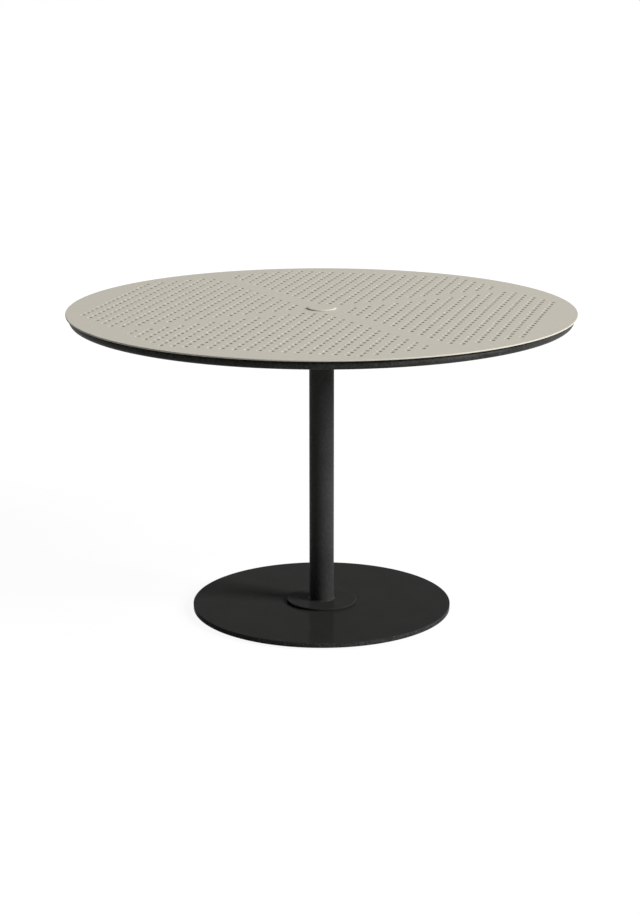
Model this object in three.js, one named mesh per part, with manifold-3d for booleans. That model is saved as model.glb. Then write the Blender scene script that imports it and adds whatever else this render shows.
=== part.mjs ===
// Round outdoor dining table with an umbrella hole, on a central post and a disc base.
// Millimetres, +Z up. The origin is on the floor, under the middle of the table.
// The perforated sheet lies on a rolled tube ring and four box tubes that meet at a hub. The hub is bolted to
// the post's top plate. The post is a hollow tube, so an umbrella pole drops through the sheet into the post.
// The sheet's plain bands lie over the box tubes, along X and Y.
import * as THREE from 'three';
import { mergeVertices } from 'three/addons/utils/BufferGeometryUtils.js';
import Module from 'manifold-3d';

const wasm = await Module();
wasm.setup();

// Driving dimensions
const tableHeight = 750; // to the top of the sheet
const topDiameter = 1219.2;
const baseDiameter = 635;
const postDiameter = 60.3;
const umbrellaHoleDiameter = 52;

// Clearances
const seat = 0.3; // between two pieces that rest on each other or are welded together
const cutOverrun = 2; // how far a cutting shape runs past what it cuts
const sameVertex = 0.0001; // vertices nearer than this are one

// Top sheet and its holes
const sheetThickness = 3.4;
const holeDiameter = 12;
const bandHalfWidth = 31.8; // from the middle of a plain band to the first row of holes
const fieldEdgeMargin = 82; // from the last row of holes to the edge of the sheet
const holeRowSpacing = 38.1; // the real sheet has a row every 19.8; fewer and wider rows keep this model light
const fieldCornerShare = 1.4; // how far the field's cut corners reach, as a share of its straight sides
const rowRoundingShare = 0.01; // of a row, so that a row that just fits is not lost

// Tube ring under the edge of the sheet
const rimTubeDiameter = 20;
const rimOverhang = 7.6; // how far the sheet stands out past the ring

// Box tubes under the plain bands
const armWidth = 40;
const armHeight = 20;
const armWall = 2;
const armCornerRadius = 3;

// Hub that the box tubes meet at
const hubRingWall = 6;
const hubRingRoom = 5; // round the bush flange that stands inside the ring
const hubPlateDiameter = 216;
const hubPlateThickness = 5;

// Post, its top plate and its foot flange
const postWall = 2.6;
const topPlateEdgeMargin = 20; // from a bolt's middle to the side of the top plate
const topPlateThickness = 6;
const topPlateCornerRadius = 16;
const flangeDiameter = 172;
const flangeThickness = 6;
const flangeEdgeBreak = 1;

// Nylon bush that guides the umbrella pole at the top of the post
const bushWall = 1.8;
const bushDepth = 46; // below its flange
const bushFlangeThickness = 3;
const bushFlangeOverlap = 4; // how far the flange reaches past the post's bore

// Cap of the umbrella hole
const capLip = 9; // how far the cap reaches past the edge of the hole
const capThickness = 3;
const capEdgeRadius = 1.3;
const capSpigotDepth = 13; // below the cap's underside
const capSpigotWall = 2;
const capSpigotPlay = 0.5;
const capSpigotLeadIn = 1;

// Base plate and foot pads
const baseThickness = 12;
const baseEdgeBreak = 1.2;
const drainHoleDiameter = 12;
const padDiameter = 30;
const padThickness = 4;
const padInset = 35; // from the pad's middle to the edge of the base
const padStemDiameter = 8;
const padStemLength = 7;
const padEdgeBreak = 0.8;
const padCount = 6;

// Bolts through the top plate into the weld nuts on the hub plate
const boltDiameter = 8;
const boltHoleDiameter = 9.4;
const boltEdgeMargin = 20; // from a bolt's middle to the edge of the hub plate
const boltHeadHeight = 5.3;
const boltHeadAcrossCorners = 14.4;
const boltTipLength = 2.5; // past the nut
const washerDiameter = 18;
const washerThickness = 1.6;
const nutHeight = 6.5;
const nutAcrossCorners = 15;
const nutBoreDiameter = 8.8;

// Countersunk screws from under the base into the flange
const screwDiameter = 8;
const screwHeadDiameter = 16;
const screwHeadHeight = 4.4;
const screwCircleDiameter = 118;
const screwHoleDiameter = 9.2;
const screwRecess = 0.6; // of the head below the underside of the base
const tappedHoleDiameter = 8.8;
const tappedHoleCover = 1.5; // of flange left above each blind hole

// Facet counts
const outlineSides = 80;
const rimTubeSides = 12;
const roundSides = 32;
const smallSides = 12;

// Heights, from the floor up
const baseUnder = padThickness + seat;
const baseTop = baseUnder + baseThickness;
const flangeUnder = baseTop + seat;
const flangeTop = flangeUnder + flangeThickness;
const postUnder = baseTop + seat;

// Heights, from the sheet down
const sheetUnder = tableHeight - sheetThickness;
const frameTop = sheetUnder - seat;
const armUnder = frameTop - armHeight;
const hubPlateTop = armUnder - seat;
const hubPlateUnder = hubPlateTop - hubPlateThickness;
const topPlateTop = hubPlateUnder - seat;
const topPlateUnder = topPlateTop - topPlateThickness;
const postTop = topPlateUnder - seat;

// Radii worked out from the sizes above
const topRadius = topDiameter / 2;
const postRadius = postDiameter / 2;
const postBore = postRadius - postWall;
const bushRadius = postBore - seat;
const bushBore = bushRadius - bushWall;
const bushFlangeRadius = postBore + bushFlangeOverlap;
const hubRingBore = bushFlangeRadius + hubRingRoom;
const hubRingRadius = hubRingBore + hubRingWall;
const rimTubeRadius = rimTubeDiameter / 2;
const rimCircleRadius = topRadius - rimOverhang - rimTubeRadius;
const holeRadius = umbrellaHoleDiameter / 2;
const capSpigotRadius = holeRadius - capSpigotPlay;
const boltSpacing = (hubPlateDiameter / 2 - boltEdgeMargin) * Math.SQRT2;
const topPlateSide = boltSpacing + 2 * topPlateEdgeMargin;

// Materials
const paint = (color, roughness, metalness) =>
  new THREE.MeshStandardMaterial({ color, roughness, metalness });
const stonePaint = paint(0xbab5a6, 0.55, 0.1);
const blackPaint = paint(0x2b2c2a, 0.6, 0.2);
const zincSteel = paint(0xa8aaac, 0.35, 0.9);
const blackNylon = paint(0x1b1b1c, 0.7, 0);

// Points round a circle, which start on the X axis so that nested round pieces share their corners
function circlePoints(radius, sides, x = 0, y = 0) {
  const points = [];
  for (let k = 0; k < sides; k++) {
    const angle = (k / sides) * 2 * Math.PI;
    points.push(new THREE.Vector2(x + radius * Math.cos(angle), y + radius * Math.sin(angle)));
  }
  return points;
}

// A plate of the given outline and holes, from one height up to another
function plate(outline, holes, under, top) {
  const shape = new THREE.Shape(outline);
  for (const hole of holes) shape.holes.push(new THREE.Path(hole));
  const geometry = new THREE.ExtrudeGeometry(shape, { depth: top - under, bevelEnabled: false });
  geometry.translate(0, 0, under);
  return geometry;
}

// A body turned about the Z axis, from a closed profile of [radius, height] pairs, anticlockwise
function turned(profile, sides = roundSides) {
  const points = profile.map(([radius, height]) => new THREE.Vector2(radius, height));
  if (profile[0][0] > 0) points.push(points[0].clone());
  const geometry = new THREE.LatheGeometry(points, sides);
  geometry.rotateX(Math.PI / 2);
  return geometry;
}

// A three.js geometry as a manifold solid
function solid(geometry) {
  const bare = geometry.clone();
  bare.deleteAttribute('normal');
  bare.deleteAttribute('uv');
  const merged = mergeVertices(bare, sameVertex);
  const vertProperties = new Float32Array(merged.attributes.position.array);
  const triVerts = new Uint32Array(merged.index.array);
  return new wasm.Manifold(new wasm.Mesh({ numProp: 3, vertProperties, triVerts }));
}

// A manifold solid as a three.js geometry
function geometryOf(body) {
  const { vertProperties, triVerts } = body.getMesh();
  const geometry = new THREE.BufferGeometry();
  geometry.setAttribute('position', new THREE.BufferAttribute(new Float32Array(vertProperties), 3));
  geometry.setIndex(new THREE.BufferAttribute(new Uint32Array(triVerts), 1));
  geometry.computeVertexNormals();
  return geometry;
}

// A rounded rectangle's corners, anticlockwise
function roundedRectangle(width, height, radius, cornerSteps) {
  const points = [];
  for (let corner = 0; corner < 4; corner++) {
    const x = (width / 2 - radius) * (corner === 0 || corner === 3 ? 1 : -1);
    const y = (height / 2 - radius) * (corner < 2 ? 1 : -1);
    for (let step = 0; step <= cornerSteps; step++) {
      const angle = ((corner + step / cornerSteps) * Math.PI) / 2;
      points.push(new THREE.Vector2(x + radius * Math.cos(angle), y + radius * Math.sin(angle)));
    }
  }
  return points;
}

// Where the sheet's holes go: a staggered grid in each quarter, with its outer corner cut off
function sheetHoleCentres() {
  const reach = topRadius - fieldEdgeMargin;
  const rows = Math.floor((reach - bandHalfWidth) / holeRowSpacing + rowRoundingShare);
  const centres = [];
  for (let i = 0; i <= rows; i++) {
    for (let j = 0; j <= rows; j++) {
      const x = bandHalfWidth + i * holeRowSpacing;
      const y = bandHalfWidth + j * holeRowSpacing;
      const staggered = (i + j) % 2 === 0;
      const clearOfCap = i + j > 0;
      const inField = x + y <= reach * fieldCornerShare;
      if (staggered && clearOfCap && inField) centres.push([x, y], [-x, y], [-x, -y], [x, -y]);
    }
  }
  return centres;
}

// The perforated sheet: each small hole is a square with the area of the round one
function topSheet() {
  const squareRadius = (holeDiameter / 2) * Math.sqrt(Math.PI / 2);
  const holes = sheetHoleCentres().map(([x, y]) => circlePoints(squareRadius, 4, x, y));
  holes.push(circlePoints(holeRadius, roundSides));
  return plate(circlePoints(topRadius, outlineSides), holes, sheetUnder, tableHeight);
}

// The ring of round tube under the edge, swollen by a clearance where it is used as a cutter
function rimRing(clearance = 0) {
  const radius = rimTubeRadius + clearance;
  const geometry = new THREE.TorusGeometry(rimCircleRadius, radius, rimTubeSides, outlineSides);
  geometry.translate(0, 0, frameTop - rimTubeRadius);
  return geometry;
}

// One box tube along +X, open at both ends, with each end coped to the round piece that it is welded to
function supportArm() {
  const innerWidth = armWidth - 2 * armWall;
  const innerHeight = armHeight - 2 * armWall;
  const inner = roundedRectangle(innerWidth, innerHeight, armCornerRadius - armWall, 1);
  const shape = new THREE.Shape(roundedRectangle(armWidth, armHeight, armCornerRadius, 2));
  shape.holes.push(new THREE.Path(inner));
  const length = rimCircleRadius - hubRingBore;
  const box = new THREE.ExtrudeGeometry(shape, { depth: length, bevelEnabled: false });
  box.rotateX(Math.PI / 2);
  box.rotateZ(Math.PI / 2);
  box.translate(hubRingBore, 0, (frameTop + armUnder) / 2);
  const hubCut = turned(
    [
      [0, armUnder - cutOverrun],
      [hubRingRadius + seat, armUnder - cutOverrun],
      [hubRingRadius + seat, frameTop + cutOverrun],
      [0, frameTop + cutOverrun],
    ],
  );
  return geometryOf(solid(box).subtract(solid(hubCut)).subtract(solid(rimRing(seat))));
}

// The ring round the umbrella hole that the box tubes butt against
function hubRing() {
  return turned([
    [hubRingBore, armUnder],
    [hubRingRadius, armUnder],
    [hubRingRadius, frameTop],
    [hubRingBore, frameTop],
  ]);
}

// Four places in a square, such as the bolts of the top plate
function squareOfFour(spacing) {
  const half = spacing / 2;
  return [[half, half], [-half, half], [-half, -half], [half, -half]];
}

const boltHoles = () =>
  squareOfFour(boltSpacing).map(([x, y]) => circlePoints(boltHoleDiameter / 2, smallSides, x, y));

// The round plate under the box tubes
function hubPlate() {
  const holes = [circlePoints(postBore, roundSides), ...boltHoles()];
  return plate(circlePoints(hubPlateDiameter / 2, roundSides), holes, hubPlateUnder, hubPlateTop);
}

// The square plate on top of the post
function postTopPlate() {
  const outline = roundedRectangle(topPlateSide, topPlateSide, topPlateCornerRadius, 3);
  return plate(outline, [circlePoints(postBore, roundSides), ...boltHoles()], topPlateUnder, topPlateTop);
}

// The hollow post
function postTube() {
  return turned([
    [postBore, postUnder],
    [postRadius, postUnder],
    [postRadius, postTop],
    [postBore, postTop],
  ]);
}

// The flanged bush in the top of the post
function umbrellaBush() {
  const flangeSeat = hubPlateTop + seat;
  return turned([
    [bushBore, flangeSeat - bushDepth],
    [bushRadius, flangeSeat - bushDepth],
    [bushRadius, flangeSeat],
    [bushFlangeRadius, flangeSeat],
    [bushFlangeRadius, flangeSeat + bushFlangeThickness],
    [bushBore, flangeSeat + bushFlangeThickness],
  ]);
}

// The lift-off cap, a disc with a rounded edge and a hollow spigot that drops into the hole
function holeCap() {
  const under = tableHeight + seat;
  const top = under + capThickness;
  const radius = holeRadius + capLip;
  const edge = [];
  const edgeSteps = 3;
  for (let step = 0; step <= edgeSteps; step++) {
    const angle = ((step / edgeSteps) * Math.PI) / 2;
    const out = capEdgeRadius * Math.cos(angle);
    const up = capEdgeRadius * Math.sin(angle);
    edge.push([radius - capEdgeRadius + out, top - capEdgeRadius + up]);
  }
  return turned([
    [0, under],
    [capSpigotRadius - capSpigotWall, under],
    [capSpigotRadius - capSpigotWall, under - capSpigotDepth],
    [capSpigotRadius - capSpigotLeadIn, under - capSpigotDepth],
    [capSpigotRadius, under - capSpigotDepth + capSpigotLeadIn],
    [capSpigotRadius, under],
    [radius, under],
    ...edge,
    [0, top],
  ]);
}

// The weld flange at the foot of the post, with blind tapped holes in its underside
function postFlange() {
  const outer = flangeDiameter / 2;
  const ring = turned([
    [postRadius + seat, flangeUnder],
    [outer, flangeUnder],
    [outer, flangeTop - flangeEdgeBreak],
    [outer - flangeEdgeBreak, flangeTop],
    [postRadius + seat, flangeTop],
  ]);
  const from = flangeUnder - cutOverrun;
  const to = flangeTop - tappedHoleCover;
  return cutFour(ring, screwCircleDiameter / Math.SQRT2, [
    [0, from],
    [tappedHoleDiameter / 2, from],
    [tappedHoleDiameter / 2, to],
    [0, to],
  ]);
}

// Cuts the same turned shape out of a geometry at four places in a square
function cutFour(geometry, spacing, profile) {
  let body = solid(geometry);
  for (const [x, y] of squareOfFour(spacing)) {
    body = body.subtract(solid(turned(profile, smallSides).translate(x, y, 0)));
  }
  return geometryOf(body);
}

// Where the foot pads sit, evenly round the base
function padPlaces() {
  const radius = baseDiameter / 2 - padInset;
  return circlePoints(radius, padCount);
}

// The base disc, with a drain hole, countersunk holes for the flange's screws and sockets for the pads' stems
function basePlate() {
  const outer = baseDiameter / 2;
  const disc = turned(
    [
      [drainHoleDiameter / 2, baseUnder],
      [outer - baseEdgeBreak, baseUnder],
      [outer, baseUnder + baseEdgeBreak],
      [outer, baseTop - baseEdgeBreak],
      [outer - baseEdgeBreak, baseTop],
      [drainHoleDiameter / 2, baseTop],
    ],
    outlineSides,
  );
  const headTop = baseUnder + screwRecess + screwHeadHeight;
  const play = (screwHoleDiameter - screwDiameter) / 2;
  const drilled = cutFour(disc, screwCircleDiameter / Math.SQRT2, [
    [0, baseUnder - cutOverrun],
    [screwHeadDiameter / 2 + play, baseUnder - cutOverrun],
    [screwHeadDiameter / 2 + play, baseUnder + screwRecess],
    [screwHoleDiameter / 2, headTop],
    [screwHoleDiameter / 2, baseTop + cutOverrun],
    [0, baseTop + cutOverrun],
  ]);
  let body = solid(drilled);
  const socketRadius = padStemDiameter / 2 + seat;
  for (const place of padPlaces()) {
    const socket = turned(
      [
        [0, baseUnder - cutOverrun],
        [socketRadius, baseUnder - cutOverrun],
        [socketRadius, padThickness + padStemLength + seat],
        [0, padThickness + padStemLength + seat],
      ],
      smallSides,
    );
    body = body.subtract(solid(socket.translate(place.x, place.y, 0)));
  }
  return geometryOf(body);
}

// A push-in foot pad: a disc that stands on the floor and a stem in the base's socket
function footPad() {
  const radius = padDiameter / 2;
  return turned(
    [
      [0, 0],
      [radius - padEdgeBreak, 0],
      [radius, padEdgeBreak],
      [radius, padThickness],
      [padStemDiameter / 2, padThickness],
      [padStemDiameter / 2, padThickness + padStemLength],
      [0, padThickness + padStemLength],
    ],
    smallSides,
  );
}

// A hexagonal prism about the Z axis
const hexagon = (acrossCorners, under, top, holes = []) =>
  plate(circlePoints(acrossCorners / 2, 6), holes, under, top);

const washerTop = topPlateUnder - seat;
const washerUnder = washerTop - washerThickness;
const nutUnder = hubPlateTop + seat;
const nutTop = nutUnder + nutHeight;

// A bolt that comes up through the washer, both plates and the nut
function hubBolt() {
  const headTop = washerUnder - seat;
  const head = hexagon(boltHeadAcrossCorners, headTop - boltHeadHeight, headTop);
  const shank = turned(
    [
      [0, headTop - boltHeadHeight / 2],
      [boltDiameter / 2, headTop - boltHeadHeight / 2],
      [boltDiameter / 2, nutTop + boltTipLength],
      [0, nutTop + boltTipLength],
    ],
    smallSides,
  );
  return geometryOf(solid(head).add(solid(shank)));
}

// A flat washer under the bolt's head
function boltWasher() {
  return turned(
    [
      [boltHoleDiameter / 2, washerUnder],
      [washerDiameter / 2, washerUnder],
      [washerDiameter / 2, washerTop],
      [boltHoleDiameter / 2, washerTop],
    ],
    smallSides,
  );
}

const weldNut = () =>
  hexagon(nutAcrossCorners, nutUnder, nutTop, [circlePoints(nutBoreDiameter / 2, smallSides)]);

// A countersunk screw that comes up through the base into the flange
function baseScrew() {
  const headUnder = baseUnder + screwRecess;
  const tip = flangeTop - tappedHoleCover - seat;
  return turned(
    [
      [0, headUnder],
      [screwHeadDiameter / 2, headUnder],
      [screwDiameter / 2, headUnder + screwHeadHeight],
      [screwDiameter / 2, tip],
      [0, tip],
    ],
    smallSides,
  );
}

// The assembly
const table = new THREE.Group();

function addMesh(name, geometry, material, x = 0, y = 0, turn = 0) {
  const mesh = new THREE.Mesh(geometry, material);
  mesh.name = name;
  mesh.position.set(x, y, 0);
  mesh.rotation.z = turn;
  table.add(mesh);
}

addMesh('top_sheet', topSheet(), stonePaint);
addMesh('rim_ring', rimRing(), blackPaint);
const armGeometry = supportArm();
for (let k = 0; k < 4; k++) {
  addMesh(`support_arm_${k + 1}`, armGeometry, blackPaint, 0, 0, (k * Math.PI) / 2);
}
addMesh('hub_ring', hubRing(), blackPaint);
addMesh('hub_plate', hubPlate(), blackPaint);
addMesh('post_top_plate', postTopPlate(), blackPaint);
squareOfFour(boltSpacing).forEach(([x, y], k) => {
  addMesh(`hub_bolt_${k + 1}`, hubBolt(), zincSteel, x, y);
  addMesh(`bolt_washer_${k + 1}`, boltWasher(), zincSteel, x, y);
  addMesh(`weld_nut_${k + 1}`, weldNut(), blackPaint, x, y);
});

addMesh('umbrella_hole_cap', holeCap(), stonePaint);
addMesh('umbrella_bush', umbrellaBush(), blackNylon);
addMesh('post_tube', postTube(), blackPaint);
addMesh('post_flange', postFlange(), blackPaint);
addMesh('base_plate', basePlate(), blackPaint);
squareOfFour(screwCircleDiameter / Math.SQRT2).forEach(([x, y], k) => {
  addMesh(`base_screw_${k + 1}`, baseScrew(), zincSteel, x, y);
});
padPlaces().forEach((place, k) => {
  addMesh(`foot_pad_${k + 1}`, footPad(), blackNylon, place.x, place.y);
});

export default table;
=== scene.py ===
"""The umbrella table's finish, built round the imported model. Metres, +Z up, in the model's own frame."""

import math

import bmesh
import bpy
from mathutils import Matrix, Vector
from mathutils.geometry import delaunay_2d_cdt


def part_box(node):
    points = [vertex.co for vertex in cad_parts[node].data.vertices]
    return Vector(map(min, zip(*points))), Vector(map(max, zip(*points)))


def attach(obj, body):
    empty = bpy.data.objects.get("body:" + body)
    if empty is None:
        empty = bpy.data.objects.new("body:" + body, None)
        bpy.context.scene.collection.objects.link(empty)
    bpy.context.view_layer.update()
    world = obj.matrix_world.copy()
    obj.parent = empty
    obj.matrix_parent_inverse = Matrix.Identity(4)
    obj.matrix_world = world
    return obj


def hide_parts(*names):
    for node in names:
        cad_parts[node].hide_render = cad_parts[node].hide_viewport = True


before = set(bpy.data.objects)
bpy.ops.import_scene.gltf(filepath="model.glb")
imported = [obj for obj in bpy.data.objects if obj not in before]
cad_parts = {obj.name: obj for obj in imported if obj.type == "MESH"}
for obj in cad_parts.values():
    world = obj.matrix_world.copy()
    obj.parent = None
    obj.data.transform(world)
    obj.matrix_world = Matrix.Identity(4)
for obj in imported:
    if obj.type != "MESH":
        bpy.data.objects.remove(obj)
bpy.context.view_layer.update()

MM = 0.001

# The camera, as the photograph's outlines give it
IMAGE_LONG_SIDE = 914
SENSOR = 36
FOCAL_PIXELS = 2043.52
AXIS_OFFSET_PIXELS = 1.62  # the table's axis stands this far right of the picture's middle
CAMERA_AZIMUTH = math.radians(-30.07)
CAMERA_DISTANCE = 4826.9 * MM
CAMERA_HEIGHT = 1622.4 * MM
CAMERA_PITCH = math.radians(14.396)
BLENDER_CAMERA_CLIP = 200

# The sheet's small holes: each quarter has a staggered grid that starts beside the plain bands
HOLE_RADIUS = 6 * MM
HOLE_SIDES = 16
FIRST_HOLE = 31.8 * MM
HOLE_STEP = 19.83 * MM
HOLE_ROWS = 26
CORNER_CUT_STEPS = 34

# Edges and clearances
HOLE_EDGE = 0.5 * MM
SOFT_EDGE = 0.35 * MM
SHEET_EDGE = 1.0 * MM
PLATE_EDGE = 0.8 * MM
BASE_EDGE = 1.2 * MM
SEAT = 0.3 * MM

# Facets of round pieces
FINE = 256
ROUND = 96
SMALL = 48
CREASE = math.radians(32)
LEVEL = 0.9999  # a face whose normal rises more than this is level


def points_on_circle(radius, z, sides, x=0.0, y=0.0):
    angles = (2 * math.pi * k / sides for k in range(sides))
    return [(x + radius * math.cos(a), y + radius * math.sin(a), z) for a in angles]


def points_on_hexagon(across_flats, z, sides, x=0.0, y=0.0, limit=None):
    """A hexagon's outline, no further out than limit, with as many points as a circle beside it."""
    points = []
    for k in range(sides):
        angle = 2 * math.pi * k / sides
        from_flat = (angle % (math.pi / 3)) - math.pi / 6
        radius = across_flats / 2 / math.cos(from_flat)
        if limit:
            radius = min(radius, limit)
        points.append((x + radius * math.cos(angle), y + radius * math.sin(angle), z))
    return points


def finish_mesh(name, vertices, faces, crease=CREASE):
    """Level faces are shaded flat, so that the rounded edges beside them don't tint them."""
    mesh = bpy.data.meshes.new(name)
    mesh.from_pydata(vertices, [], faces)
    made = bmesh.new()
    made.from_mesh(mesh)
    bmesh.ops.recalc_face_normals(made, faces=made.faces)
    made.to_mesh(mesh)
    made.free()
    mesh.set_sharp_from_angle(angle=crease)
    mesh.polygons.foreach_set("use_smooth", [abs(face.normal.z) < LEVEL for face in mesh.polygons])
    piece = bpy.data.objects.new(name, mesh)
    bpy.context.scene.collection.objects.link(piece)
    return piece


def loft(name, rings, closed=False, crease=CREASE):
    """A skin over rings of points. It is capped at both ends, or closed on itself."""
    sides = len(rings[0])
    vertices = [point for ring in rings for point in ring]
    faces = []
    pairs = len(rings) if closed else len(rings) - 1
    for i in range(pairs):
        a, b = i * sides, (i + 1) % len(rings) * sides
        for k in range(sides):
            n = (k + 1) % sides
            faces.append((a + k, a + n, b + n, b + k))
    if not closed:
        faces.append(tuple(range(sides)))
        faces.append(tuple(range((len(rings) - 1) * sides, len(rings) * sides)))
    return finish_mesh(name, vertices, faces, crease)


def rounded(profile, radius, steps=3):
    """A closed profile of (radius, height) points with each corner rounded off."""
    result = []
    for i, corner in enumerate(profile):
        here = Vector(corner)
        before = Vector(profile[i - 1]) - here
        after = Vector(profile[(i + 1) % len(profile)]) - here
        reach = min(radius, 0.45 * before.length, 0.45 * after.length)
        start, end = here + before.normalized() * reach, here + after.normalized() * reach
        for k in range(steps + 1):
            t = k / steps
            point = start * (1 - t) ** 2 + here * 2 * t * (1 - t) + end * t**2
            result.append((point.x, point.y))
    return result


def ring_profile(inner, outer, low, high):
    """The plain profile of a round piece with a hole through it."""
    return [(inner, low), (outer, low), (outer, high), (inner, high)]


def turned(name, profile, sides=ROUND, edge=SOFT_EDGE, x=0.0, y=0.0):
    """A hollow round piece, from a closed profile of (radius, height) points."""
    smooth = rounded(profile, edge) if edge else profile
    rings = [points_on_circle(r, z, sides, x, y) for r, z in smooth]
    return loft(name, rings, closed=True)


def plate(name, outline, holes, crease=CREASE):
    """A flat plate. The outline and each hole are rings of points, from the plate's underside up."""
    loops = [outline, *holes]
    vertices, faces, low, high, owner = [], [], [], [], []
    for number, rings in enumerate(loops):
        sides = len(rings[0])
        first = len(vertices)
        for ring in rings:
            vertices.extend(ring)
        for i in range(len(rings) - 1):
            a, b = first + i * sides, first + (i + 1) * sides
            for k in range(sides):
                n = (k + 1) % sides
                faces.append((a + k, a + n, b + n, b + k))
        low.extend(range(first, first + sides))
        high.extend(range(first + (len(rings) - 1) * sides, first + len(rings) * sides))
        owner.extend([number] * sides)
    for skin in (low, high):
        flat = [Vector(vertices[v][:2]) for v in skin]
        edges, at = [], 0
        for rings in loops:
            sides = len(rings[0])
            edges.extend((at + k, at + (k + 1) % sides) for k in range(sides))
            at += sides
        _, _, triangles, origin, _, _ = delaunay_2d_cdt(flat, edges, [], 0, 1e-9)
        back = {new: old[0] for new, old in enumerate(origin)}
        for triangle in triangles:
            corners = [back[v] for v in triangle]
            owners = {owner[v] for v in corners}
            if len(owners) > 1 or owners == {0}:
                faces.append(tuple(skin[v] for v in corners))
    return finish_mesh(name, vertices, faces, crease)


def rounded_edges(radius, low, high, edge, steps=3, hole=False):
    """(radius, height) from the underside up, with both edges of a plate's rim or of a hole rounded."""
    side = 1 if hole else -1
    arcs = [math.pi / 2 * k / steps for k in range(steps + 1)]
    lower = [(radius + side * edge * (1 - math.sin(a)), low + edge * (1 - math.cos(a))) for a in arcs]
    upper = [(radius + side * edge * (1 - math.cos(a)), high - edge * (1 - math.sin(a))) for a in arcs]
    return lower + upper


def circle_rings(pairs, sides, x=0.0, y=0.0):
    return [points_on_circle(radius, z, sides, x, y) for radius, z in pairs]


def size_of(node):
    """A round node's middle, its outer radius, and its lowest and highest height."""
    low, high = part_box(node)
    return (low + high) / 2, (high.x - low.x) / 2, low.z, high.z


def shown(piece, node, material, body="table"):
    """Puts a finished piece in its CAD node's place."""
    piece.data.materials.clear()
    piece.data.materials.append(material)
    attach(piece, body)
    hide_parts(node)
    return piece


# Materials


def new_material(name):
    material = bpy.data.materials.new(name)
    material.use_nodes = True
    nodes, links = material.node_tree.nodes, material.node_tree.links
    shader = nodes["Principled BSDF"]
    place = nodes.new("ShaderNodeTexCoord").outputs["Object"]
    return material, nodes, links, shader, place


def noise(nodes, links, place, size, detail=2.0, roughness=0.5):
    """Noise whose features are about this many metres across."""
    texture = nodes.new("ShaderNodeTexNoise")
    texture.inputs["Scale"].default_value = 1 / size
    texture.inputs["Detail"].default_value = detail
    texture.inputs["Roughness"].default_value = roughness
    links.new(place, texture.inputs["Vector"])
    return texture.outputs["Fac"]


def between(nodes, links, factor, low, high, from_low=0.0, from_high=1.0):
    """Maps a factor to a range of plain numbers."""
    spread = nodes.new("ShaderNodeMapRange")
    spread.inputs["From Min"].default_value = from_low
    spread.inputs["From Max"].default_value = from_high
    spread.inputs["To Min"].default_value = low
    spread.inputs["To Max"].default_value = high
    links.new(factor, spread.inputs["Value"])
    return spread.outputs["Result"]


def mixed_colour(nodes, links, factor, first, second):
    mix = nodes.new("ShaderNodeMix")
    mix.data_type = "RGBA"
    mix.inputs["A"].default_value = (*first, 1)
    mix.inputs["B"].default_value = (*second, 1)
    links.new(factor, mix.inputs["Factor"])
    return mix.outputs["Result"]


def bumped(nodes, links, height, depth, strength, under=None):
    bump = nodes.new("ShaderNodeBump")
    bump.inputs["Distance"].default_value = depth
    bump.inputs["Strength"].default_value = strength
    links.new(height, bump.inputs["Height"])
    if under:
        links.new(under, bump.inputs["Normal"])
    return bump.outputs["Normal"]


def product(nodes, links, first, second):
    result = nodes.new("ShaderNodeMath")
    result.operation = "MULTIPLY"
    links.new(first, result.inputs[0])
    links.new(second, result.inputs[1])
    return result.outputs["Value"]


def upright_share(nodes, links, place, within=None):
    """0 on level faces and 1 on upright ones, and also 0 further than within from the table's middle."""
    split = nodes.new("ShaderNodeSeparateXYZ")
    links.new(nodes.new("ShaderNodeTexCoord").outputs["Normal"], split.inputs["Vector"])
    steep = nodes.new("ShaderNodeMath")
    steep.operation = "ABSOLUTE"
    links.new(split.outputs["Z"], steep.inputs[0])
    share = between(nodes, links, steep.outputs["Value"], 1.0, 0.0, *UPRIGHT_SPREAD)
    if not within:
        return share
    flat = nodes.new("ShaderNodeVectorMath")
    flat.operation = "MULTIPLY"
    flat.inputs[1].default_value = (1, 1, 0)
    reach = nodes.new("ShaderNodeVectorMath")
    reach.operation = "LENGTH"
    links.new(place, flat.inputs[0])
    links.new(flat.outputs["Vector"], reach.inputs[0])
    inside = between(nodes, links, reach.outputs["Value"], 1.0, 0.0, within - MM, within)
    return product(nodes, links, share, inside)


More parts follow.
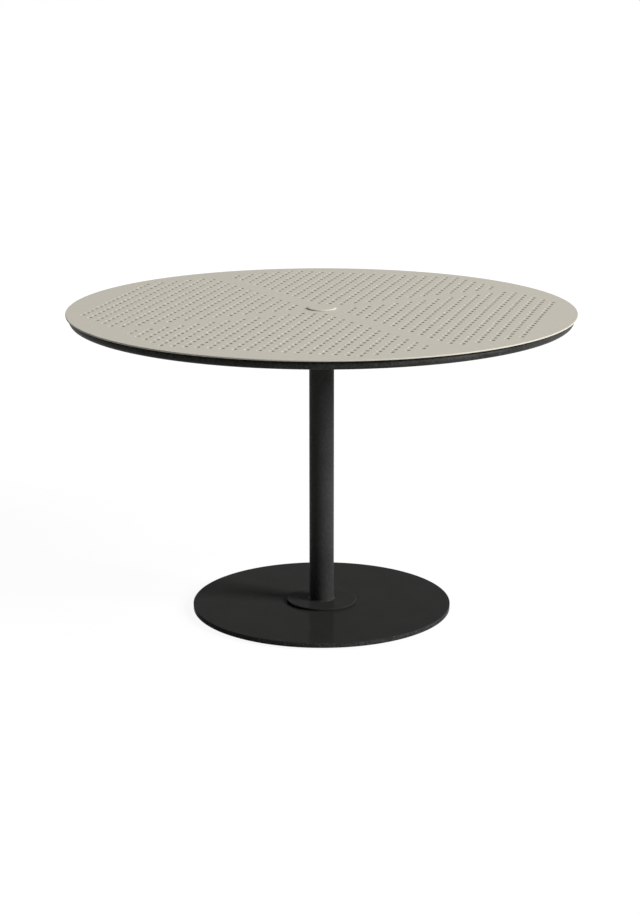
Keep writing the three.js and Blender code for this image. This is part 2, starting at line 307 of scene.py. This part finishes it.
def powder_coat(
    name, dark, light, roughness, gloss, grain, depth, strength, painted_upright_shading=None, painted_shading_share=None, within=None
):
    """Baked powder paint, mottled in colour, uneven in gloss, with a fine grain and a soft orange peel.

    A colour given for upright faces is mixed into them in patches, as painted light and shade.
    """
    material, nodes, links, shader, place = new_material(name)
    clouds = noise(nodes, links, place, CLOUD_SIZE, detail=3.0)
    grain_height = noise(nodes, links, place, grain, roughness=0.6)
    peel = noise(nodes, links, place, grain * PEEL_SHARE, detail=1.0)
    speck = between(nodes, links, grain_height, 0.0, 1.0, *SPECK_SPREAD)
    blend = nodes.new("ShaderNodeMath")
    blend.operation = "MULTIPLY_ADD"
    blend.inputs[1].default_value = SPECK_SHARE
    links.new(speck, blend.inputs[0])
    links.new(between(nodes, links, clouds, 0.0, 1 - SPECK_SHARE, *NOISE_SPREAD), blend.inputs[2])
    colour = mixed_colour(nodes, links, blend.outputs["Value"], dark, light)
    # upright faces get a painted shade or a painted highlight mixed in, in noisy patches
    if painted_upright_shading:
        painted_shading_noise = noise(nodes, links, place, PAINTED_SHADING_GRAIN, detail=3.0, roughness=0.7)
        painted_shading_mask = between(nodes, links, painted_shading_noise, 0.0, 1.0, *painted_shading_share)
        over = nodes.new("ShaderNodeMix")
        over.data_type = "RGBA"
        over.inputs["B"].default_value = (*painted_upright_shading, 1)
        links.new(colour, over.inputs["A"])
        share = product(nodes, links, painted_shading_mask, upright_share(nodes, links, place, within))
        links.new(share, over.inputs["Factor"])
        colour = over.outputs["Result"]
    links.new(colour, shader.inputs["Base Color"])
    least, most = roughness - ROUGHNESS_SWING, roughness + ROUGHNESS_SWING
    links.new(between(nodes, links, clouds, least, most, *NOISE_SPREAD), shader.inputs["Roughness"])
    shader.inputs["Specular IOR Level"].default_value = gloss
    soft = bumped(nodes, links, peel, depth * PEEL_SHARE, strength / 2)
    links.new(bumped(nodes, links, grain_height, depth, strength, soft), shader.inputs["Normal"])
    return material


def zinc_plate(name):
    material, nodes, links, shader, place = new_material(name)
    spangle = noise(nodes, links, place, ZINC_SPANGLE, detail=3.0, roughness=0.7)
    colour = mixed_colour(nodes, links, spangle, ZINC_DARK, ZINC_LIGHT)
    links.new(colour, shader.inputs["Base Color"])
    links.new(between(nodes, links, spangle, *ZINC_ROUGHNESS, *NOISE_SPREAD), shader.inputs["Roughness"])
    shader.inputs["Metallic"].default_value = 1.0
    links.new(bumped(nodes, links, spangle, depth=FINE_BUMP, strength=0.3), shader.inputs["Normal"])
    return material


def moulded_nylon(name):
    material, nodes, links, shader, place = new_material(name)
    grain = noise(nodes, links, place, NYLON_GRAIN)
    colour = mixed_colour(nodes, links, grain, NYLON_DARK, NYLON_LIGHT)
    links.new(colour, shader.inputs["Base Color"])
    links.new(between(nodes, links, grain, *NYLON_ROUGHNESS, *NOISE_SPREAD), shader.inputs["Roughness"])
    shader.inputs["Specular IOR Level"].default_value = NYLON_GLOSS
    links.new(bumped(nodes, links, grain, depth=FINE_BUMP, strength=0.4), shader.inputs["Normal"])
    return material


NOISE_SPREAD = (0.3, 0.7)  # where most values of a noise lie
SPECK_SPREAD = (0.32, 0.68)
UPRIGHT_SPREAD = (0.3, 0.8)  # how far a normal may rise before its face no longer counts as upright
CLOUD_SIZE = 90 * MM
PEEL_SHARE = 4.0  # how much broader the orange peel is than the grain
SPECK_SHARE = 0.6  # of the colour's mottling that follows the grain
ROUGHNESS_SWING = 0.05
FINE_BUMP = 0.05 * MM

# size of the patches of painted shading on upright faces
PAINTED_SHADING_GRAIN = 5 * MM
# painted highlight: a lighter grey mixed in patches into the base's upright sides
PAINTED_SIDE_HIGHLIGHT = (0.05, 0.051, 0.049)
PAINTED_SIDE_HIGHLIGHT_SHARE = (0.48, 0.6)
PAINTED_HOLE_SHADE = (0.265, 0.253, 0.22)  # painted shade on the walls of the sheet's punched holes, where shade falls
PAINTED_HOLE_SHADE_SHARE = (0.4, 0.62)
PAINTED_HOLE_SHADE_WITHIN = 600 * MM  # of the middle, which leaves out the sheet's own edge

ZINC_SPANGLE = 2 * MM
ZINC_DARK = (0.46, 0.47, 0.48)
ZINC_LIGHT = (0.66, 0.66, 0.66)
ZINC_ROUGHNESS = (0.3, 0.5)
NYLON_GRAIN = 0.6 * MM
NYLON_DARK = (0.012, 0.012, 0.013)
NYLON_LIGHT = (0.02, 0.02, 0.021)
NYLON_ROUGHNESS = (0.45, 0.6)
NYLON_GLOSS = 0.2

STONE_DARK = (0.548, 0.518, 0.447)
STONE_LIGHT = (0.58, 0.55, 0.477)
BLACK_DARK = (0.013, 0.0135, 0.012)
BLACK_LIGHT = (0.053, 0.054, 0.051)
POST_DARK = (0.024, 0.024, 0.0235)
POST_LIGHT = (0.044, 0.044, 0.043)
BASE_DARK = (0.023, 0.023, 0.022)
BASE_LIGHT = (0.029, 0.029, 0.028)

stone_paint = {"roughness": 0.6, "gloss": 0.03, "grain": 0.9 * MM, "depth": FINE_BUMP, "strength": 0.25}
stone_paint |= {"dark": STONE_DARK, "light": STONE_LIGHT}
# the sheet's hole walls get a painted shade mixed in, in patches
painted_hole_shade = {"painted_upright_shading": PAINTED_HOLE_SHADE, "painted_shading_share": PAINTED_HOLE_SHADE_SHARE, "within": PAINTED_HOLE_SHADE_WITHIN}
stone = powder_coat("stone_powder_coat", **stone_paint, **painted_hole_shade)
stone_cap = powder_coat("stone_cap_coat", **stone_paint)

rim_paint = {"roughness": 0.4, "gloss": 0.04, "grain": 6.0 * MM, "depth": 0.15 * MM, "strength": 1.0}
black = powder_coat("black_powder_coat", BLACK_DARK, BLACK_LIGHT, **rim_paint)
post_paint = {"roughness": 0.5, "gloss": 0.04, "grain": 3.5 * MM, "depth": 0.4 * MM, "strength": 1.0}
black_post = powder_coat("black_post_coat", POST_DARK, POST_LIGHT, **post_paint)

base_paint = {"roughness": 0.12, "gloss": 0.002, "grain": 1.0 * MM, "depth": 0.03 * MM, "strength": 0.25}
base_paint |= {"dark": BASE_DARK, "light": BASE_LIGHT}
# the base's upright sides get a painted highlight mixed in
black_base = powder_coat("black_base_coat", **base_paint, painted_upright_shading=PAINTED_SIDE_HIGHLIGHT, painted_shading_share=PAINTED_SIDE_HIGHLIGHT_SHARE)
black_flange = powder_coat("black_flange_coat", **base_paint)

zinc = zinc_plate("zinc_plate")
nylon = moulded_nylon("black_nylon")


# The sheet, with every one of its round holes


def hole_places():
    """The middle of every small hole, from one quarter's staggered grid."""
    places = []
    for i in range(HOLE_ROWS):
        for j in range(HOLE_ROWS):
            if (i + j) % 2 or not 0 < i + j <= CORNER_CUT_STEPS:
                continue
            x, y = FIRST_HOLE + i * HOLE_STEP, FIRST_HOLE + j * HOLE_STEP
            places += [(x, y), (-x, y), (-x, -y), (x, -y)]
    return places


def perforated_sheet():
    _, radius, low, high = size_of("top_sheet")
    _, cap_radius, _, _ = size_of("umbrella_hole_cap")
    rim = circle_rings(rounded_edges(radius, low, high, SHEET_EDGE), FINE)
    umbrella_hole = cap_radius - CAP_LIP
    holes = [circle_rings(rounded_edges(umbrella_hole, low, high, SOFT_EDGE, hole=True), ROUND)]
    small = [
        (HOLE_RADIUS + HOLE_EDGE, low),
        (HOLE_RADIUS, low + HOLE_EDGE),
        (HOLE_RADIUS, high - HOLE_EDGE),
        (HOLE_RADIUS + HOLE_EDGE, high),
    ]
    holes += [circle_rings(small, HOLE_SIDES, x, y) for x, y in hole_places()]
    return plate("tabletop", rim, holes)


CAP_LIP = 9 * MM  # how far the cap reaches past the umbrella hole
shown(perforated_sheet(), "top_sheet", stone)


def hole_cap():
    """The lift-off cap: a disc with a soft edge on a hollow spigot."""
    _, radius, low, high = size_of("umbrella_hole_cap")
    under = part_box("top_sheet")[1].z + SEAT
    spigot = radius - CAP_LIP - SPIGOT_PLAY
    inner = spigot - SPIGOT_WALL
    pairs = [(inner * CENTRE_SHARE, under), (inner - SOFT_EDGE, under), (inner, under - SOFT_EDGE)]
    pairs += [(inner, low + SOFT_EDGE), (inner + SOFT_EDGE, low), (spigot - SPIGOT_LEAD, low)]
    pairs += [(spigot, low + SPIGOT_LEAD), (spigot, under - SOFT_EDGE), (spigot + SOFT_EDGE, under)]
    arcs = [math.pi / 2 * k / CAP_EDGE_STEPS for k in range(CAP_EDGE_STEPS + 1)]
    pairs += [(radius - SOFT_EDGE, under), (radius, under + SOFT_EDGE)]
    for a in arcs:
        pairs.append((radius - CAP_EDGE_WIDTH * (1 - math.cos(a)), high - CAP_EDGE * (1 - math.sin(a))))
    pairs += [(inner * CENTRE_SHARE, high)]
    return loft("umbrella_cap", circle_rings(pairs, ROUND))


SPIGOT_PLAY = 0.5 * MM
SPIGOT_WALL = 2 * MM
SPIGOT_LEAD = 1 * MM
CAP_EDGE = 2.4 * MM
CAP_EDGE_WIDTH = 4.0 * MM
CAP_EDGE_STEPS = 5
CENTRE_SHARE = 0.5  # where a disc's middle face begins
shown(hole_cap(), "umbrella_hole_cap", stone_cap, "cap")


# The frame under the sheet


def tube_ring():
    _, outer, low, high = size_of("rim_ring")
    tube = (high - low) / 2
    middle = outer - tube
    arcs = [2 * math.pi * k / TUBE_SIDES for k in range(TUBE_SIDES)]
    pairs = [(middle + tube * math.cos(a), low + tube + tube * math.sin(a)) for a in arcs]
    return loft("rim_tube", circle_rings(pairs, FINE), closed=True, crease=math.pi)


TUBE_SIDES = 32
shown(tube_ring(), "rim_ring", black)

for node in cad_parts.values():
    if node.name.startswith("support_arm"):
        node.data.materials.clear()
        node.data.materials.append(black)
        node.data.set_sharp_from_angle(angle=CREASE)

BORE = 27.55 * MM  # the radius of the umbrella pole's way through the hub, and of the post's inside
RING_WALL = 6 * MM
_, ring_radius, ring_low, ring_high = size_of("hub_ring")
hub_profile = ring_profile(ring_radius - RING_WALL, ring_radius, ring_low, ring_high)
shown(turned("umbrella_ring", hub_profile), "hub_ring", black)

BOLT_HOLE = 4.7 * MM
bolt_places = [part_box(f"hub_bolt_{k}") for k in (1, 2, 3, 4)]
bolt_places = [((low + high) / 2).xy for low, high in bolt_places]


def bolt_holes(low, high):
    rings = rounded_edges(BOLT_HOLE, low, high, SOFT_EDGE, hole=True)
    return [circle_rings(rings, SMALL, x, y) for x, y in bolt_places]


def round_hub_plate():
    _, radius, low, high = size_of("hub_plate")
    rim = circle_rings(rounded_edges(radius, low, high, PLATE_EDGE), ROUND)
    bore = circle_rings(rounded_edges(BORE, low, high, SOFT_EDGE, hole=True), ROUND)
    return plate("hub_disc", rim, [bore, *bolt_holes(low, high)])


def square_ring(side, corner, z, steps):
    """A rounded square's outline, anticlockwise."""
    points = []
    for quarter in range(4):
        x = (side / 2 - corner) * (1 if quarter in (0, 3) else -1)
        y = (side / 2 - corner) * (1 if quarter < 2 else -1)
        for k in range(steps + 1):
            angle = math.pi / 2 * (quarter + k / steps)
            points.append((x + corner * math.cos(angle), y + corner * math.sin(angle), z))
    return points


def square_top_plate():
    _, half, low, high = size_of("post_top_plate")
    edges = rounded_edges(half, low, high, PLATE_EDGE)
    inset = [(half - radius, z) for radius, z in edges]
    rim = [square_ring(2 * (half - d), TOP_PLATE_CORNER - d, z, CORNER_STEPS) for d, z in inset]
    bore = circle_rings(rounded_edges(BORE, low, high, SOFT_EDGE, hole=True), ROUND)
    return plate("post_head", rim, [bore, *bolt_holes(low, high)])


TOP_PLATE_CORNER = 16 * MM
CORNER_STEPS = 10
shown(round_hub_plate(), "hub_plate", black)
shown(square_top_plate(), "post_top_plate", black)


# Bolts, washers and nuts


def threaded(radius, low, high, pitch):
    """A shank with thread ridges, as (radius, height) pairs."""
    turns = max(1, int((high - low - pitch) / pitch))
    pairs = [(radius - THREAD_DEPTH, low)]
    for k in range(turns):
        pairs += [(radius, low + (k + 0.5) * pitch), (radius - THREAD_DEPTH, low + (k + 1) * pitch)]
    return pairs + [(radius - THREAD_DEPTH, high - pitch / 2), (radius - 2 * THREAD_DEPTH, high)]


def hub_bolt(k):
    name = f"hub_bolt_{k}"
    middle, _, low, high = size_of(name)
    x, y = middle.x, middle.y
    head_top = low + BOLT_HEAD
    flats = BOLT_FLATS
    rings = [
        points_on_hexagon(flats, low, SMALL, x, y, flats * HEAD_CHAMFER_SHARE),
        points_on_hexagon(flats, low + BOLT_CHAMFER, SMALL, x, y),
        points_on_hexagon(flats, head_top, SMALL, x, y),
        points_on_circle(BOLT_RADIUS, head_top, SMALL, x, y),
    ]
    rings += circle_rings(threaded(BOLT_RADIUS, head_top + SMOOTH_SHANK, high, THREAD_PITCH), SMALL, x, y)
    shown(loft(f"bolt_{k}", rings), name, zinc)


def weld_nut(k):
    name = f"weld_nut_{k}"
    middle, _, low, high = size_of(name)
    x, y = middle.x, middle.y
    rings = [
        points_on_circle(NUT_BORE, low, SMALL, x, y),
        points_on_hexagon(BOLT_FLATS, low, SMALL, x, y),
        points_on_hexagon(BOLT_FLATS, high - BOLT_CHAMFER, SMALL, x, y),
        points_on_hexagon(BOLT_FLATS, high, SMALL, x, y, BOLT_FLATS * HEAD_CHAMFER_SHARE),
        points_on_circle(NUT_BORE, high, SMALL, x, y),
    ]
    shown(loft(f"nut_{k}", rings, closed=True), name, black)


def washer(k):
    name = f"bolt_washer_{k}"
    middle, radius, low, high = size_of(name)
    profile = ring_profile(BOLT_HOLE, radius, low, high)
    piece = turned(f"washer_{k}", profile, SMALL, SOFT_EDGE, middle.x, middle.y)
    shown(piece, name, zinc)


BOLT_FLATS = 12.6 * MM
BOLT_HEAD = 5.3 * MM
BOLT_CHAMFER = 0.9 * MM
BOLT_RADIUS = 4 * MM
SMOOTH_SHANK = 9 * MM
THREAD_PITCH = 1.25 * MM
THREAD_DEPTH = 0.5 * MM
NUT_BORE = 4.4 * MM
HEAD_CHAMFER_SHARE = 0.49
for number in (1, 2, 3, 4):
    hub_bolt(number)
    weld_nut(number)
    washer(number)


# The bush, the post and its flange


def guide_bush():
    _, radius, low, high = size_of("umbrella_bush")
    body = BORE - SEAT
    bore = body - BUSH_WALL
    lip = high - BUSH_LIP
    return [(bore, low), (body, low), (body, lip), (radius, lip), (radius, high), (bore, high)]


BUSH_WALL = 1.8 * MM
BUSH_LIP = 3 * MM
shown(turned("guide_bush", guide_bush(), edge=PLATE_EDGE), "umbrella_bush", nylon)

_, post_radius, post_low, post_high = size_of("post_tube")
post_profile = ring_profile(BORE, post_radius, post_low, post_high)
shown(turned("post", post_profile, FINE), "post_tube", black_post)

_, flange_radius, flange_low, flange_high = size_of("post_flange")
flange_profile = ring_profile(post_radius + SEAT, flange_radius, flange_low, flange_high)
FLANGE_EDGE = 2 * MM
shown(turned("foot_flange", flange_profile, FINE, FLANGE_EDGE), "post_flange", black_flange)


# The base, its screws and its foot pads


def base_disc():
    _, radius, low, high = size_of("base_plate")
    rim = circle_rings(rounded_edges(radius, low, high, BASE_EDGE, 4), FINE)
    drain = circle_rings(rounded_edges(DRAIN_RADIUS, low, high, PLATE_EDGE, hole=True), SMALL)
    holes = [drain]
    for k in (1, 2, 3, 4):
        middle, head, _, _ = size_of(f"base_screw_{k}")
        mouth = head + SCREW_PLAY
        shank = SCREW_RADIUS + SCREW_PLAY
        pairs = [
            (mouth + SOFT_EDGE, low),
            (mouth, low + SCREW_RECESS),
            (shank, low + SCREW_RECESS + SCREW_HEAD),
            (shank, high),
        ]
        holes.append(circle_rings(pairs, SMALL, middle.x, middle.y))
    return plate("base_disc", rim, holes)


def base_screw(k):
    """A countersunk screw with a hexagon socket in its head."""
    name = f"base_screw_{k}"
    middle, radius, low, high = size_of(name)
    x, y = middle.x, middle.y
    rings = [
        points_on_hexagon(SOCKET_FLATS, low + SOCKET_DEPTH, SMALL, x, y),
        points_on_hexagon(SOCKET_FLATS, low, SMALL, x, y),
        points_on_circle(radius - SOFT_EDGE, low, SMALL, x, y),
        points_on_circle(radius, low + SOFT_EDGE, SMALL, x, y),
        points_on_circle(SCREW_RADIUS, low + SCREW_HEAD, SMALL, x, y),
    ]
    rings += circle_rings(threaded(SCREW_RADIUS, low + SCREW_HEAD + MM, high, THREAD_PITCH), SMALL, x, y)
    shown(loft(f"screw_{k}", rings), name, zinc)


def foot_pad(k):
    name = f"foot_pad_{k}"
    middle, radius, low, high = size_of(name)
    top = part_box("base_plate")[0].z - SEAT
    pairs = [(radius * CENTRE_SHARE, low), (radius - PLATE_EDGE, low), (radius, low + PLATE_EDGE)]
    pairs += [(radius, top - SOFT_EDGE), (radius - SOFT_EDGE, top), (PAD_STEM, top), (PAD_STEM, high)]
    piece = loft(f"pad_{k}", circle_rings(pairs, SMALL, middle.x, middle.y))
    shown(piece, name, nylon)


DRAIN_RADIUS = 6 * MM
SCREW_RADIUS = 4 * MM
SCREW_PLAY = 0.6 * MM
SCREW_RECESS = 0.6 * MM
SCREW_HEAD = 4.4 * MM
SOCKET_FLATS = 5 * MM
SOCKET_DEPTH = 2.6 * MM
PAD_STEM = 4 * MM
PAD_COUNT = 6
shown(base_disc(), "base_plate", black_base)
for number in (1, 2, 3, 4):
    base_screw(number)
for number in range(1, PAD_COUNT + 1):
    foot_pad(number)


# Weld beads, painted over


def bead_rings(path, radius, closed):
    """Rings of points round a path, rippled as a weld is, and thin at its ends unless it is closed."""
    last = len(path)
    sideways = None
    rings = []
    for i, point in enumerate(path):
        ahead = path[(i + 1) % last] if closed or i + 1 < last else point
        behind = path[i - 1] if closed or i else point
        along = (ahead - behind).normalized()
        if sideways is None:
            sideways = along.orthogonal()
        sideways = (sideways - along * sideways.dot(along)).normalized()
        across = along.cross(sideways)
        size = radius * (1 + BEAD_RIPPLE * math.sin(2 * math.pi * i / BEAD_RIPPLE_STEPS))
        if not closed:
            size *= min(1.0, BEAD_TIP + min(i, last - 1 - i) / BEAD_TIP_STEPS)
        turns = (2 * math.pi * k / BEAD_SIDES for k in range(BEAD_SIDES))
        rings.append([point + (sideways * math.cos(a) + across * math.sin(a)) * size for a in turns])
    return rings


def weld(name, paths, radius, closed=False):
    """One piece of the frame's weld beads, one bead along each path."""
    vertices, faces = [], []
    for path in paths:
        first = len(vertices)
        rings = bead_rings(path, radius, closed)
        vertices += [point for ring in rings for point in ring]
        for i in range(len(rings) if closed else len(rings) - 1):
            a, b = first + i * BEAD_SIDES, first + (i + 1) % len(rings) * BEAD_SIDES
            for k in range(BEAD_SIDES):
                n = (k + 1) % BEAD_SIDES
                faces.append((a + k, a + n, b + n, b + k))
        if not closed:
            end = len(vertices) - BEAD_SIDES
            faces += [tuple(range(first, first + BEAD_SIDES)), tuple(range(end, end + BEAD_SIDES))]
    piece = finish_mesh(name, vertices, faces, math.pi)
    piece.data.materials.append(black)
    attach(piece, "table")


def ring_path(radius, z):
    return [Vector(point) for point in points_on_circle(radius, z, round(2 * math.pi * radius / BEAD_STEP))]


def turned_about(path, angle):
    return [Matrix.Rotation(angle, 3, "Z") @ point for point in path]


_, rim_outer, rim_low, rim_high = size_of("rim_ring")
tube_radius = (rim_high - rim_low) / 2
tube_middle = Vector((rim_outer - tube_radius, rim_low + tube_radius))


def arm_weld_paths():
    """Down both sides of the arm's coped end, and not below it, where it is ground flush."""
    arm_low, arm_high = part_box("support_arm_1")
    side = (arm_high.y - arm_low.y) / 2 + SEAT
    reach = tube_radius + SEAT
    steps = round(ARM_WELD_ARC * reach / BEAD_STEP)
    down = []
    for k in range(steps + 1):
        angle = ARM_WELD_START - ARM_WELD_ARC * k / steps
        down.append((tube_middle.x - reach * math.cos(angle), tube_middle.y + reach * math.sin(angle)))
    return [[Vector((x, y, z)) for x, z in down] for y in (-side, side)]


def rim_weld_path():
    """A short bead in the corner between the sheet and the inner side of the rim's tube."""
    radius = tube_middle.x - tube_radius / 2
    z = rim_high - MM
    steps = round(RIM_WELD_LENGTH / BEAD_STEP)
    angles = [RIM_WELD_LENGTH / radius * (k / steps - 0.5) for k in range(steps + 1)]
    return [Vector((radius * math.cos(a), radius * math.sin(a), z)) for a in angles]


BEAD_SIDES = 8
BEAD_STEP = 1 * MM
BEAD_RIPPLE = 0.12
BEAD_RIPPLE_STEPS = 4
BEAD_TIP = 0.3  # of its full size, at the ends
BEAD_TIP_STEPS = 5
POST_BEAD = 1.7 * MM
ARM_BEAD = 2.0 * MM
RIM_BEAD = 1.6 * MM
ARM_WELD_START = math.radians(50)
ARM_WELD_ARC = math.radians(110)
RIM_WELD_LENGTH = 40 * MM
RIM_WELDS = 8
weld("foot_weld", [ring_path(post_radius + SEAT, flange_high + SEAT)], POST_BEAD, closed=True)
head_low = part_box("post_top_plate")[0].z
weld("head_weld", [ring_path(post_radius + SEAT, head_low - SEAT)], POST_BEAD, closed=True)
quarters = [math.pi / 2 * k for k in range(4)]
arm_paths = [turned_about(path, turn) for path in arm_weld_paths() for turn in quarters]
weld("arm_welds", arm_paths, ARM_BEAD)
rim_turns = [2 * math.pi * (k + 0.5) / RIM_WELDS for k in range(RIM_WELDS)]
weld("rim_welds", [turned_about(rim_weld_path(), turn) for turn in rim_turns], RIM_BEAD)


# Floor, light and camera


def white_to_camera(nodes, links):
    """1 for what the camera, a reflection or glass sees, and 0 for light that falls on the table."""
    path = nodes.new("ShaderNodeLightPath")
    total = path.outputs["Is Camera Ray"]
    for other in ("Is Glossy Ray", "Is Transmission Ray"):
        most = nodes.new("ShaderNodeMath")
        most.operation = "MAXIMUM"
        links.new(total, most.inputs[0])
        links.new(path.outputs[other], most.inputs[1])
        total = most.outputs["Value"]
    return total


def pale_floor():
    mesh = bpy.data.meshes.new("floor")
    half = FLOOR_HALF
    corners = [(-half, -half, 0), (half, -half, 0), (half, half, 0), (-half, half, 0)]
    mesh.from_pydata(corners, [], [(0, 1, 2, 3)])
    floor = bpy.data.objects.new("floor", mesh)
    bpy.context.scene.collection.objects.link(floor)
    material = bpy.data.materials.new("pale_floor")
    material.use_nodes = True
    nodes, links = material.node_tree.nodes, material.node_tree.links
    nodes.remove(nodes["Principled BSDF"])
    lit = nodes.new("ShaderNodeBsdfDiffuse")
    lit.inputs["Color"].default_value = (*FLOOR_COLOUR, 1)
    faint = nodes.new("ShaderNodeBsdfDiffuse")
    faint.inputs["Color"].default_value = (*FLOOR_SHADOW_COLOUR, 1)
    glow = nodes.new("ShaderNodeEmission")
    place = nodes.new("ShaderNodeTexCoord").outputs["Object"]
    reach = nodes.new("ShaderNodeVectorMath")
    reach.operation = "LENGTH"
    links.new(place, reach.inputs[0])
    strength = between(nodes, links, reach.outputs["Value"], FLOOR_GLOW, 1.0, *FLOOR_FADE)
    links.new(strength, glow.inputs["Strength"])
    both = nodes.new("ShaderNodeAddShader")
    links.new(faint.outputs["BSDF"], both.inputs[0])
    links.new(glow.outputs["Emission"], both.inputs[1])
    choose = nodes.new("ShaderNodeMixShader")
    links.new(white_to_camera(nodes, links), choose.inputs["Fac"])
    links.new(lit.outputs["BSDF"], choose.inputs[1])
    links.new(both.outputs["Shader"], choose.inputs[2])
    links.new(choose.outputs["Shader"], nodes["Material Output"].inputs["Surface"])
    mesh.materials.append(material)


def plain_world():
    world = bpy.data.worlds.new("studio")
    bpy.context.scene.world = world
    world.use_nodes = True
    nodes, links = world.node_tree.nodes, world.node_tree.links
    background = nodes["Background"]
    background.inputs["Color"].default_value = (1, 1, 1, 1)
    strength = between(nodes, links, white_to_camera(nodes, links), WORLD_LIGHT, 1.0)
    links.new(strength, background.inputs["Strength"])


def towards(azimuth, elevation):
    """The direction of something at an azimuth from the camera's own side, clockwise seen from above."""
    turn = CAMERA_AZIMUTH + azimuth
    flat = Vector((math.sin(turn), -math.cos(turn), 0)) * math.cos(elevation)
    return flat + Vector((0, 0, math.sin(elevation)))


def softbox(name, azimuth, elevation, distance, width, height, power):
    lamp = bpy.data.lights.new(name, "AREA")
    lamp.shape = "RECTANGLE"
    lamp.size, lamp.size_y = width, height
    lamp.energy = power
    box = bpy.data.objects.new(name, lamp)
    way = towards(math.radians(azimuth), math.radians(elevation))
    box.location = LIGHT_TARGET + way * distance
    box.rotation_euler = way.to_track_quat("Z", "Y").to_euler()
    bpy.context.scene.collection.objects.link(box)


def camera():
    lens = bpy.data.cameras.new("camera")
    lens.sensor_width = SENSOR
    lens.lens = FOCAL_PIXELS * SENSOR / IMAGE_LONG_SIDE
    lens.shift_x = -AXIS_OFFSET_PIXELS / IMAGE_LONG_SIDE
    lens.clip_end = BLENDER_CAMERA_CLIP
    view = bpy.data.objects.new("camera", lens)
    back = Vector((math.sin(CAMERA_AZIMUTH), -math.cos(CAMERA_AZIMUTH), 0))
    view.location = back * CAMERA_DISTANCE + Vector((0, 0, CAMERA_HEIGHT))
    view.rotation_euler = (math.pi / 2 - CAMERA_PITCH, 0, CAMERA_AZIMUTH)
    bpy.context.scene.collection.objects.link(view)
    bpy.context.scene.camera = view


FLOOR_HALF = 40.0
FLOOR_COLOUR = (0.6, 0.6, 0.59)
FLOOR_SHADOW_COLOUR = (0.09, 0.09, 0.09)
FLOOR_GLOW = 0.93  # beside the table, and 1 where the lamps no longer reach
FLOOR_FADE = (1.5, 5.0)
WORLD_LIGHT = 0.07
LIGHT_TARGET = Vector((0, 0, 0.5))

camera()
pale_floor()
plain_world()
softbox("key", azimuth=70, elevation=26, distance=30.0, width=12.5, height=12.5, power=14200)
softbox("overhead", azimuth=-90, elevation=86, distance=5.0, width=1.6, height=1.6, power=36)
bpy.context.scene.view_settings.view_transform = "Standard"
